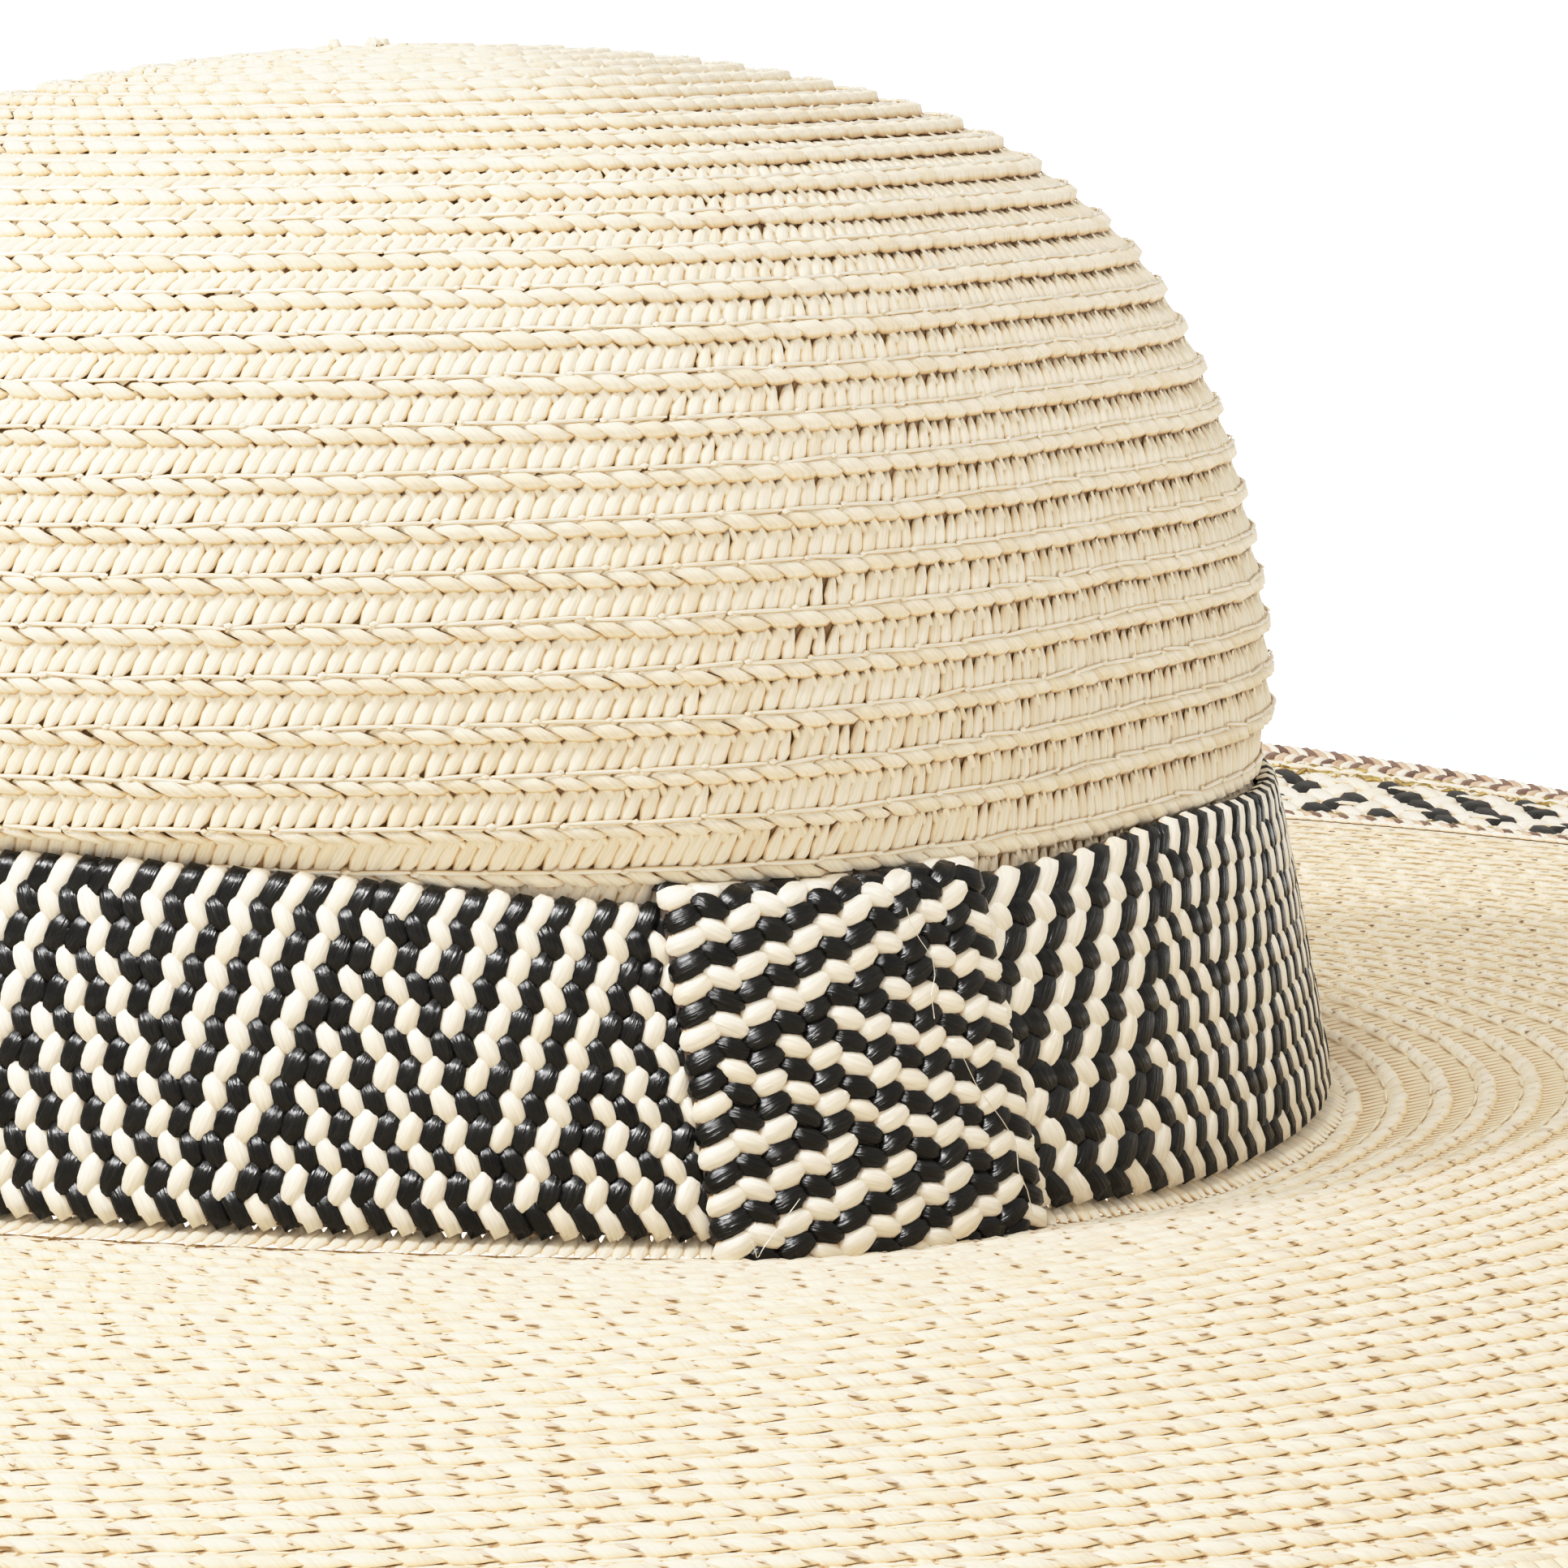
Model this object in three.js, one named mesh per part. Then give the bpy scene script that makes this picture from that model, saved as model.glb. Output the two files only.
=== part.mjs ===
// A wide-brimmed floppy hat of sewn straw braid: a soft round crown, a plaited band
// with a keeper wrapped round it, a rippled brim and four rows of trimming braid.
//
// Millimetres, +Z up. The front of the hat faces -Y and the wearer's left is +X. The hat
// stands on the lowest parts of its brim edge, at z = 0, with the crown over the origin.
// Azimuths are in degrees: 0 is the front (-Y), 90 the wearer's left (+X), 180 the back.

import * as THREE from 'three';

// Driving dimensions
const WALL = 2;                 // sewn braid, through the thickness
const GAP = 0.3;                // clearance between neighbouring pieces
const CROWN_HEIGHT = 119.5;     // tip of the crown above the ground
const BREAK_RADIUS = 95.2;      // where the crown turns out into the brim
const RIM_RADIUS = 274;         // brim edge
const BAND_HEIGHT = 33;
const BAND_THICKNESS = 2.2;
const BAND_TOP_RADIUS = 85.9;   // crown radius under the band's two edges
const BAND_BOTTOM_RADIUS = 91.6;
const BAND_LIFT = 2;            // band's lower edge above the break line
const BAND_SOFTNESS = 0.5;      // share of the crown's dents that the stiff band takes on
const CINCH = { azimuth: 98, width: 28, depth: 2.8 };     // where the keeper narrows it
const SWELL = { azimuth: 142, width: 16, depth: -2 };     // where it widens again

// The crown's plan: an oval with one soft flat side and a soft corner beside it
const OVAL = 0.03;
const FLAT = { azimuth: 140, width: 24, depth: 0.085 };
const CORNER = { azimuth: 98, width: 15, depth: -0.02 };
const FAR_FLAT = { azimuth: 290, width: 34, depth: 0.035 };

// The crown above the band: radius and height
const CROWN_PROFILE = [
  [13, CROWN_HEIGHT - 0.4],
  [27, CROWN_HEIGHT - 1.7],
  [40, CROWN_HEIGHT - 3.9],
  [51, CROWN_HEIGHT - 6.9],
  [60.2, 108.9],
  [68.4, 103],
  [75.3, 96],
  [80.2, 87.5],
  [83.6, 78.9],
  [86.2, 69],
  [88, 58],
  [88.6, 48.5],
];

// Rows of braid where the crown's tip, shoulder and side meet, as outline points
const CROWN_SEAMS = { tip: 5, shoulder: 9 };

// The break line and the brim: heights of their upper surface
const BREAK_LEVEL = 8;
const BREAK_SADDLE = { azimuth: 52, height: 3.2 };
const BREAK_PINCH = { azimuth: 119, width: 12, depth: -0.9 };   // raised beside the keeper
const BRIM_LEVEL = 10;
const BRIM_TILT = { azimuth: 75, height: 2.2 };
const BREAK_BLEND = 0.3;        // part of the brim's width over which the break fades out
const RIPPLE_POWER = 6;         // ripples grow towards the edge
const RIM_HEIGHTS = [
  { azimuth: 30, height: -0.5 },
  { azimuth: 86, height: 4 },
  { azimuth: 138, height: -0.5 },
  { azimuth: 170, height: 9 },
  { azimuth: 200, height: -0.5 },
  { azimuth: 244, height: 16 },
  { azimuth: 296, height: -0.5 },
  { azimuth: 343, height: 13 },
];

// The trimming braids, from the edge inwards
const EDGE_BRAID = 7;
const GOLD_BRAID = 5;
const CHEVRON_BRAID = 23;
const INNER_BRAID = 6;
const TRIM_WIDTH = EDGE_BRAID + GOLD_BRAID + CHEVRON_BRAID + INNER_BRAID;

// The keeper wrapped round the band
const KEEPER = { top: 105, bottom: 107, halfWidth: 11.4, thickness: 2 };
const KEEPER_LIP = { upper: 1.4, lower: 0.6, inset: 2.2 };

// Fineness
const STEPS = 72;
const KEEPER_STEPS = 6;
const BRIM_STATIONS = [0, 0.05, 0.13, 0.25, 0.42, 0.6, 0.78, 0.9, 1];

const COLOURS = {
  straw: 0xf3e4c6,
  plait: 0x8d8375,
  keeper: 0x6f675c,
  edge: 0xc9a08a,
  gold: 0xd6b25a,
  chevron: 0xb9ad98,
};

const radians = (degrees) => degrees * Math.PI / 180;

// Distance between two azimuths, from -180 to 180 degrees.
function azimuthDifference(a, b) {
  return ((a - b + 540) % 360) - 180;
}

function bump(azimuth, { azimuth: centre, width, depth }) {
  return depth * Math.exp(-((azimuthDifference(azimuth, centre) / width) ** 2));
}

const oval = (azimuth) => OVAL * Math.cos(2 * radians(azimuth));

function plan(azimuth, softness = 1) {
  const dents = bump(azimuth, FLAT) + bump(azimuth, CORNER) + bump(azimuth, FAR_FLAT);
  return 1 + oval(azimuth) - softness * dents;
}

const breakRadius = (azimuth) => BREAK_RADIUS * plan(azimuth, BAND_SOFTNESS);
const rimRadius = (azimuth) => RIM_RADIUS + BREAK_RADIUS * oval(azimuth);

function breakHeight(azimuth) {
  const turn = 2 * radians(azimuth - BREAK_SADDLE.azimuth);
  return BREAK_LEVEL + BREAK_SADDLE.height * Math.cos(turn) - bump(azimuth, BREAK_PINCH);
}

// Height of the brim edge: smooth waves through the listed high and low places.
function rimHeight(azimuth) {
  const count = RIM_HEIGHTS.length;
  for (let i = 0; i < count; i += 1) {
    const from = RIM_HEIGHTS[i];
    const to = RIM_HEIGHTS[(i + 1) % count];
    const span = (to.azimuth - from.azimuth + 360) % 360;
    const along = (azimuth - from.azimuth + 720) % 360;
    if (along < span) {
      const blend = (1 - Math.cos(Math.PI * along / span)) / 2;
      return from.height + (to.height - from.height) * blend;
    }
  }
  return RIM_HEIGHTS[0].height;
}

// Height of the brim's upper surface at a radius.
function brimHeight(azimuth, radius) {
  const start = breakRadius(azimuth);
  const part = Math.min(Math.max((radius - start) / (rimRadius(azimuth) - start), 0), 1);
  const level = BRIM_LEVEL + BRIM_TILT.height * Math.cos(radians(azimuth - BRIM_TILT.azimuth));
  const fade = 1 - Math.min(part / BREAK_BLEND, 1);
  const flat = level + (breakHeight(azimuth) - level) * fade ** 2;
  const height = flat + (rimHeight(azimuth) - level) * part ** RIPPLE_POWER;
  return Math.max(height, WALL);
}

function pointAt(azimuth, radius, height) {
  const turn = radians(azimuth);
  return [radius * Math.sin(turn), -radius * Math.cos(turn), height];
}

function meshGeometry(vertices, triangles) {
  const geometry = new THREE.BufferGeometry();
  geometry.setAttribute('position', new THREE.Float32BufferAttribute(vertices.flat(), 3));
  geometry.setIndex(triangles.flat());
  geometry.computeVertexNormals();
  return geometry;
}

// Two triangles between neighbouring points of two neighbouring sections.
function quad(a, b, c, d) {
  return [[a, b, c], [a, c, d]];
}

// A closed ring. sectionAt(azimuth) lists [radius, height] points round the cross-section,
// from the inner lower corner outwards and back over the top. Every face is split from its
// higher edge down to its lower one, so faces that lie against each other split alike.
function ringGeometry(sectionAt, steps) {
  const sections = [];
  for (let i = 0; i < steps; i += 1) {
    const azimuth = 360 * i / steps;
    sections.push(sectionAt(azimuth).map(([r, z]) => pointAt(azimuth, r, z)));
  }
  const size = sections[0].length;
  const triangles = [];
  for (let i = 0; i < steps; i += 1) {
    const here = i * size;
    const next = ((i + 1) % steps) * size;
    for (let j = 0; j < size; j += 1) {
      const k = (j + 1) % size;
      const falls = sections[i][j][2] >= sections[i][k][2];
      const corners = [here + j, next + j, next + k, here + k];
      triangles.push(...(falls ? quad(...corners) : quad(...corners.slice(1), corners[0])));
    }
  }
  return meshGeometry(sections.flat(), triangles);
}

// A bowl-shaped wall. The section runs from the axis down the outside and back up the
// inside to the axis.
function domeGeometry(sectionAt, steps) {
  const sections = [];
  for (let i = 0; i < steps; i += 1) {
    const azimuth = 360 * i / steps;
    const points = sectionAt(azimuth).slice(1, -1);
    sections.push(points.map(([r, z]) => pointAt(azimuth, r, z)));
  }
  const ends = sectionAt(0);
  const size = sections[0].length;
  const top = steps * size;
  const underTop = top + 1;
  const vertices = sections.flat();
  vertices.push([0, 0, ends[0][1]], [0, 0, ends[ends.length - 1][1]]);
  const triangles = [];
  for (let i = 0; i < steps; i += 1) {
    const here = i * size;
    const next = ((i + 1) % steps) * size;
    triangles.push([top, here, next]);
    triangles.push([underTop, next + size - 1, here + size - 1]);
    for (let j = 0; j < size - 1; j += 1) {
      triangles.push(...quad(here + j, here + j + 1, next + j + 1, next + j));
    }
  }
  return meshGeometry(vertices, triangles);
}

// A strip of a ring, with a flat cap at each end. sectionAt(part) takes 0 to 1 and lists
// [azimuth, radius, height] points in the order that ringGeometry takes them.
function stripGeometry(sectionAt, steps) {
  const sections = [];
  for (let i = 0; i <= steps; i += 1) {
    sections.push(sectionAt(i / steps).map(([azimuth, r, z]) => pointAt(azimuth, r, z)));
  }
  const size = sections[0].length;
  const triangles = [];
  for (let i = 0; i < steps; i += 1) {
    const here = i * size;
    const next = here + size;
    for (let j = 0; j < size; j += 1) {
      const k = (j + 1) % size;
      triangles.push(...quad(here + j, next + j, next + k, here + k));
    }
  }
  const outline = sectionAt(0).map(([, r, z]) => new THREE.Vector2(r, z));
  const last = steps * size;
  for (const [a, b, c] of THREE.ShapeUtils.triangulateShape(outline, [])) {
    triangles.push([a, b, c]);
    triangles.push([last + a, last + c, last + b]);
  }
  return meshGeometry(sections.flat(), triangles);
}

// Crown radius beside the band, a height above the band's lower edge.
function bandSeatRadius(azimuth, height) {
  const part = height / BAND_HEIGHT;
  const radius = BAND_BOTTOM_RADIUS + (BAND_TOP_RADIUS - BAND_BOTTOM_RADIUS) * part;
  return radius * plan(azimuth, BAND_SOFTNESS);
}

const bandBottom = (azimuth) => breakHeight(azimuth) + BAND_LIFT;
const bandHeight = (azimuth) => BAND_HEIGHT - bump(azimuth, CINCH) - bump(azimuth, SWELL);

// Moves each point of an open outline inwards by the wall, square to the outline.
function innerOutline(outline) {
  return outline.map(([r, z], i) => {
    if (i === 0) {
      return [0, z - WALL];
    }
    const [r0, z0] = outline[i - 1];
    const [r1, z1] = outline[Math.min(i + 1, outline.length - 1)];
    const length = Math.hypot(r1 - r0, z1 - z0);
    return [r + WALL * (z1 - z0) / length, z - WALL * (r1 - r0) / length];
  });
}

function crownOutline(azimuth) {
  const upper = CROWN_PROFILE.map(([r, z]) => [r * plan(azimuth), z]);
  const bottom = bandBottom(azimuth);
  const seat = [bandHeight(azimuth) + GAP, 0].map((height) => (
    [bandSeatRadius(azimuth, height), bottom + height]
  ));
  const foot = [breakRadius(azimuth), breakHeight(azimuth) + GAP];
  return [[0, CROWN_HEIGHT], ...upper, ...seat, foot];
}

// The crown's wall from tip to foot, as an outer and an inner outline of matching points.
function crownWall(azimuth) {
  const outer = crownOutline(azimuth);
  const inner = innerOutline(outer);
  const foot = outer.length - 1;
  inner[foot] = [outer[foot][0] - WALL, outer[foot][1]];
  return { outer, inner };
}

function crownTipSection(azimuth) {
  const { outer, inner } = crownWall(azimuth);
  const end = CROWN_SEAMS.tip + 1;
  return [...outer.slice(0, end), ...inner.slice(0, end).reverse()];
}

// The outline from one of its points to another, shortened at its start by the gap.
function outlineStretch(outline, first, last) {
  const [r0, z0] = outline[first];
  const [r1, z1] = outline[first + 1];
  const part = GAP / Math.hypot(r1 - r0, z1 - z0);
  const start = [r0 + (r1 - r0) * part, z0 + (z1 - z0) * part];
  return [start, ...outline.slice(first + 1, last + 1)];
}

function crownRingSection(azimuth, first, last) {
  const { outer, inner } = crownWall(azimuth);
  const outside = outlineStretch(outer, first, last).reverse();
  const inside = outlineStretch(inner, first, last);
  return [...outside, ...inside];
}

function crownShoulderSection(azimuth) {
  return crownRingSection(azimuth, CROWN_SEAMS.tip, CROWN_SEAMS.shoulder);
}

function crownSideSection(azimuth) {
  return crownRingSection(azimuth, CROWN_SEAMS.shoulder, CROWN_PROFILE.length + 3);
}

// The brim's plain part starts under the crown's foot.
function brimSection(azimuth) {
  const start = breakRadius(azimuth);
  const end = rimRadius(azimuth) - TRIM_WIDTH;
  const stations = BRIM_STATIONS.map((part) => start + (end - start) * part);
  const upper = [start - WALL, ...stations].map((r) => [r, brimHeight(azimuth, r)]);
  const lower = upper.map(([r, z]) => [r, z - WALL]);
  return [...lower, ...upper.reverse()];
}

// A flat braid that follows the brim, from one distance from the edge to another.
function trimSection(azimuth, fromEdge, width) {
  const outer = rimRadius(azimuth) - fromEdge;
  const inner = outer - width + GAP;
  const outerTop = brimHeight(azimuth, outer);
  const innerTop = brimHeight(azimuth, inner);
  return [
    [inner, innerTop - WALL],
    [outer, outerTop - WALL],
    [outer, outerTop],
    [inner, innerTop],
  ];
}

// The edge braid lies level across its width, so that it rests flat on the ground.
function edgeSection(azimuth) {
  const rim = rimRadius(azimuth);
  const top = brimHeight(azimuth, rim - EDGE_BRAID / 2);
  return [
    [rim - EDGE_BRAID + GAP, top - WALL],
    [rim, top - WALL],
    [rim, top],
    [rim - EDGE_BRAID + GAP, top],
  ];
}

function bandSection(azimuth) {
  const bottom = bandBottom(azimuth);
  const top = bandHeight(azimuth);
  const innerFoot = bandSeatRadius(azimuth, 0) + GAP;
  const innerTop = bandSeatRadius(azimuth, top) + GAP;
  return [
    [innerFoot, bottom],
    [innerFoot + BAND_THICKNESS, bottom],
    [innerTop + BAND_THICKNESS, bottom + top],
    [innerTop, bottom + top],
  ];
}

// The keeper: a strip over the band's face, with a lip over the band's top edge and one
// under its lower edge.
function keeperSection(part) {
  const across = (2 * part - 1) * KEEPER.halfWidth;
  const lean = (KEEPER.top - KEEPER.bottom) / BAND_HEIGHT;
  const middle = (KEEPER.top + KEEPER.bottom) / 2;
  const point = (height, outward) => {
    const azimuth = KEEPER.bottom + lean * height + across;
    const radius = bandSeatRadius(azimuth, height) + outward;
    return [azimuth, radius, bandBottom(azimuth) + height];
  };
  const face = GAP + BAND_THICKNESS + GAP;
  const outside = face + KEEPER.thickness;
  const low = -GAP;
  const high = bandHeight(middle + across) + GAP;
  return [
    point(low - KEEPER_LIP.lower, KEEPER_LIP.inset),
    point(low - KEEPER_LIP.lower, outside),
    point(high + KEEPER_LIP.upper, outside),
    point(high + KEEPER_LIP.upper, KEEPER_LIP.inset),
    point(high, KEEPER_LIP.inset),
    point(high, face),
    point(low, face),
    point(low, KEEPER_LIP.inset),
  ];
}

function addPiece(group, name, geometry, colour, roughness, metalness = 0) {
  const material = new THREE.MeshStandardMaterial({ color: colour, roughness, metalness });
  const mesh = new THREE.Mesh(geometry, material);
  mesh.name = name;
  group.add(mesh);
}

const GOLD_FROM_EDGE = EDGE_BRAID;
const CHEVRON_FROM_EDGE = GOLD_FROM_EDGE + GOLD_BRAID;
const INNER_FROM_EDGE = CHEVRON_FROM_EDGE + CHEVRON_BRAID;
const goldSection = (azimuth) => trimSection(azimuth, GOLD_FROM_EDGE, GOLD_BRAID);
const chevronSection = (azimuth) => trimSection(azimuth, CHEVRON_FROM_EDGE, CHEVRON_BRAID);
const innerSection = (azimuth) => trimSection(azimuth, INNER_FROM_EDGE, INNER_BRAID);

const hat = new THREE.Group();
addPiece(hat, 'crown_tip', domeGeometry(crownTipSection, STEPS), COLOURS.straw, 0.85);
addPiece(hat, 'crown_shoulder', ringGeometry(crownShoulderSection, STEPS), COLOURS.straw, 0.85);
addPiece(hat, 'crown_side', ringGeometry(crownSideSection, STEPS), COLOURS.straw, 0.85);
addPiece(hat, 'brim', ringGeometry(brimSection, STEPS), COLOURS.straw, 0.85);
addPiece(hat, 'hat_band', ringGeometry(bandSection, STEPS), COLOURS.plait, 0.6);
addPiece(hat, 'band_keeper', stripGeometry(keeperSection, KEEPER_STEPS), COLOURS.keeper, 0.6);
addPiece(hat, 'inner_braid', ringGeometry(innerSection, STEPS), COLOURS.edge, 0.7);
addPiece(hat, 'chevron_braid', ringGeometry(chevronSection, STEPS), COLOURS.chevron, 0.6);
addPiece(hat, 'gold_braid', ringGeometry(goldSection, STEPS), COLOURS.gold, 0.4, 0.6);
addPiece(hat, 'edge_braid', ringGeometry(edgeSection, STEPS), COLOURS.edge, 0.7);

export default hat;
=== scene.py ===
"""Looks for a floppy hat of sewn straw braid with a plaited band and a trimmed brim.

Every strand that shows is a mesh: one small template per kind of stitch is laid along
the rows of each surface. The surfaces repeat the shape formulas of the solids.
Metres, +Z up, azimuth 0 at the front (-Y) and 90 at the wearer's left (+X).
"""

import math

import bpy
import numpy as np
from mathutils import Matrix, Vector


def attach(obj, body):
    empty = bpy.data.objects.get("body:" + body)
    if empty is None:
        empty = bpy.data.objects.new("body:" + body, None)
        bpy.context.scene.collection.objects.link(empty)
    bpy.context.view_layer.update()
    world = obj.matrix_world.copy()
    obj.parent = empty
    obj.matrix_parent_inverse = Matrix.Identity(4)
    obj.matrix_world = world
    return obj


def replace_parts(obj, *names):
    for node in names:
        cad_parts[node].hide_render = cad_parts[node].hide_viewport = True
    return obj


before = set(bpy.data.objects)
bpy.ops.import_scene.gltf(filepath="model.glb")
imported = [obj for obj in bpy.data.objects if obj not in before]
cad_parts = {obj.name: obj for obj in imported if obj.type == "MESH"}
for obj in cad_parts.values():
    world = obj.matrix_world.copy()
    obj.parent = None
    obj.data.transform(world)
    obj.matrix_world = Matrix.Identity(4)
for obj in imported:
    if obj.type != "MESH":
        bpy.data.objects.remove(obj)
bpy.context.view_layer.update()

MM = 0.001

# Sizes shared with the solids
WALL = 2 * MM
GAP = 0.3 * MM
BREAK_RADIUS = 95.2 * MM
RIM_RADIUS = 274 * MM
BAND_HEIGHT = 33 * MM
BAND_TOP_RADIUS = 85.9 * MM
BAND_BOTTOM_RADIUS = 91.6 * MM
BAND_LIFT = 2 * MM
BAND_SOFTNESS = 0.5
OVAL = 0.03
BREAK_LEVEL = 8 * MM
BRIM_LEVEL = 10 * MM
BREAK_BLEND = 0.3
RIPPLE_POWER = 6
TRIM_WIDTH = 41 * MM
KEEPER_TOP = 105
KEEPER_BOTTOM = 107

# Local dents and swellings: azimuth and half width in degrees, depth as a share or a length
FLAT = (140, 24, 0.085)
CORNER = (98, 15, -0.02)
FAR_FLAT = (290, 34, 0.035)
CINCH = (98, 28, 2.8 * MM)
SWELL = (142, 16, -2 * MM)
BREAK_PINCH = (119, 12, -0.9 * MM)

# Slow waves round the hat: azimuth of the highest place, height
BREAK_SADDLE = (52, 3.2 * MM)
BRIM_TILT = (75, 2.2 * MM)

# Crown: radius and height, in millimetres
CROWN_PROFILE = np.array([
    (0, 119.5), (13, 119.1), (27, 117.8), (40, 115.6), (51, 112.6), (60.2, 108.9),
    (68.4, 103), (75.3, 96), (80.2, 87.5), (83.6, 78.9), (86.2, 69), (88, 58), (88.6, 48.5),
]) * MM

# Rim: azimuth and height in millimetres of its low and high places
RIM_HEIGHTS = [
    (30, -0.5), (86, 4), (138, -0.5), (170, 9), (200, -0.5), (244, 16), (296, -0.5), (343, 13),
]

# Rows of braid and stitches. A push has its azimuth first
PITCH = 4.7 * MM
FIRST_CROWN_ROW = 5.2 * MM
BRIM_ROWS = 29
FIRST_BRIM_ROW = 0.15
LEAF = 3.4 * MM
PUSH = (25, 0.5 * MM)
BAND_ROWS = 12
BAND_COLUMNS = 266
BAND_PITCH = 2.75 * MM
PLAIT_PERIOD = 13
RIDGE_AZIMUTH = 76.7

# The band was pulled out beside the keeper: azimuths on an even plait, and where they now lie
PULLED = ((-80, 109, 125, 140, 285), (-80, 109, 134, 151, 285))

rng = np.random.default_rng(11)


# Shape formulas

def bump(azimuth, place):
    centre, width, depth = place
    apart = (azimuth - centre + 540) % 360 - 180
    return depth * np.exp(-(apart / width) ** 2)


def oval(azimuth):
    return OVAL * np.cos(2 * np.radians(azimuth))


def plan(azimuth, softness=1):
    dents = bump(azimuth, FLAT) + bump(azimuth, CORNER) + bump(azimuth, FAR_FLAT)
    return 1 + oval(azimuth) - softness * dents


def break_radius(azimuth):
    return BREAK_RADIUS * plan(azimuth, BAND_SOFTNESS)


def rim_radius(azimuth):
    return RIM_RADIUS + BREAK_RADIUS * oval(azimuth)


def break_height(azimuth):
    saddle = BREAK_SADDLE[1] * np.cos(2 * np.radians(azimuth - BREAK_SADDLE[0]))
    return BREAK_LEVEL + saddle - bump(azimuth, BREAK_PINCH)


def rim_height(azimuth):
    height = np.zeros_like(azimuth, dtype=float)
    for i, (start, low) in enumerate(RIM_HEIGHTS):
        end, high = RIM_HEIGHTS[(i + 1) % len(RIM_HEIGHTS)]
        span = (end - start) % 360
        along = (azimuth - start) % 360
        blend = (1 - np.cos(np.pi * along / span)) / 2
        height = np.where(along < span, low + (high - low) * blend, height)
    return height * MM


def brim_height(azimuth, radius):
    start = break_radius(azimuth)
    part = np.clip((radius - start) / (rim_radius(azimuth) - start), 0, 1)
    level = BRIM_LEVEL + BRIM_TILT[1] * np.cos(np.radians(azimuth - BRIM_TILT[0]))
    fade = 1 - np.minimum(part / BREAK_BLEND, 1)
    flat = level + (break_height(azimuth) - level) * fade ** 2
    return np.maximum(flat + (rim_height(azimuth) - level) * part ** RIPPLE_POWER, WALL)


def band_seat_radius(azimuth, height):
    part = height / BAND_HEIGHT
    radius = BAND_BOTTOM_RADIUS + (BAND_TOP_RADIUS - BAND_BOTTOM_RADIUS) * part
    return radius * plan(azimuth, BAND_SOFTNESS)


def band_bottom(azimuth):
    return break_height(azimuth) + BAND_LIFT


def band_height(azimuth):
    return BAND_HEIGHT - bump(azimuth, CINCH) - bump(azimuth, SWELL)


def smooth_profile(points, count=40):
    """A smooth curve through the points: its arc lengths, radii and heights."""
    steps = np.hypot(*np.diff(points, axis=0).T)
    arc = np.concatenate([[0], np.cumsum(steps)])
    slope = np.gradient(points, arc, axis=0)
    slope[0] = (1, 0)
    curve = []
    for i, step in enumerate(steps):
        u = np.linspace(0, 1, count, endpoint=False)[:, None]
        ahead = (2 * u ** 3 - 3 * u ** 2 + 1) * points[i] + (3 * u ** 2 - 2 * u ** 3) * points[i + 1]
        turn = (u ** 3 - 2 * u ** 2 + u) * slope[i] + (u ** 3 - u ** 2) * slope[i + 1]
        curve.append(ahead + step * turn)
    curve = np.vstack(curve + [points[-1:]])
    arc = np.concatenate([[0], np.cumsum(np.hypot(*np.diff(curve, axis=0).T))])
    return arc, curve[:, 0], curve[:, 1]


CROWN_ARC, CROWN_R, CROWN_Z = smooth_profile(CROWN_PROFILE)
CROWN_END = CROWN_ARC[-1]
LOWER_CROWN = 40 * MM


# Surfaces: azimuth and distance across the rows give a point

def point_at(azimuth, radius, height):
    turn = np.radians(azimuth)
    return np.stack([radius * np.sin(turn), -radius * np.cos(turn), height], axis=-1)


def crown_surface(azimuth, across):
    """Across is the arc length from the tip. Below the profile it runs down to the break."""
    upper = np.stack([
        np.interp(across, CROWN_ARC, CROWN_R) * plan(azimuth),
        np.interp(across, CROWN_ARC, CROWN_Z),
    ], axis=-1)
    top = band_height(azimuth) + GAP
    bottom = band_bottom(azimuth)
    stops = np.stack([
        np.stack([CROWN_R[-1] * plan(azimuth), np.full_like(azimuth, CROWN_Z[-1])], axis=-1),
        np.stack([band_seat_radius(azimuth, top), bottom + top], axis=-1),
        np.stack([band_seat_radius(azimuth, 0 * azimuth), bottom], axis=-1),
        np.stack([break_radius(azimuth), break_height(azimuth) + GAP], axis=-1),
    ])
    lengths = np.linalg.norm(np.diff(stops, axis=0), axis=-1)
    ends = np.cumsum(lengths, axis=0)
    way = np.clip((across - CROWN_END) / LOWER_CROWN, 0, 1.1) * ends[-1]
    lower = stops[0]
    for i in range(3):
        start = ends[i] - lengths[i]
        part = ((way - start) / lengths[i])[..., None]
        point = stops[i] + (stops[i + 1] - stops[i]) * part
        lower = np.where((way >= start)[..., None], point, lower)
    place = np.where((across < CROWN_END)[..., None], upper, lower)
    return point_at(azimuth, place[..., 0], place[..., 1])


def brim_surface(azimuth, across):
    """Across runs from the break line to the trimming, BRIM_ROWS rows away."""
    start = break_radius(azimuth)
    end = rim_radius(azimuth) - TRIM_WIDTH
    radius = start + (end - start) * across / (BRIM_ROWS * PITCH)
    return point_at(azimuth, radius, brim_height(azimuth, radius))


BRAID_PULL = 0.39


def trim_surface(azimuth, across):
    """Across runs from the inner edge of the trimming to the rim. The braids were pulled
    along a little as they were sewn, so their strands lean."""
    azimuth = azimuth + np.degrees(BRAID_PULL * (across - TRIM_WIDTH) / RIM_RADIUS)
    radius = rim_radius(azimuth) - TRIM_WIDTH + across
    return point_at(azimuth, radius, brim_height(azimuth, radius))


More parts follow.
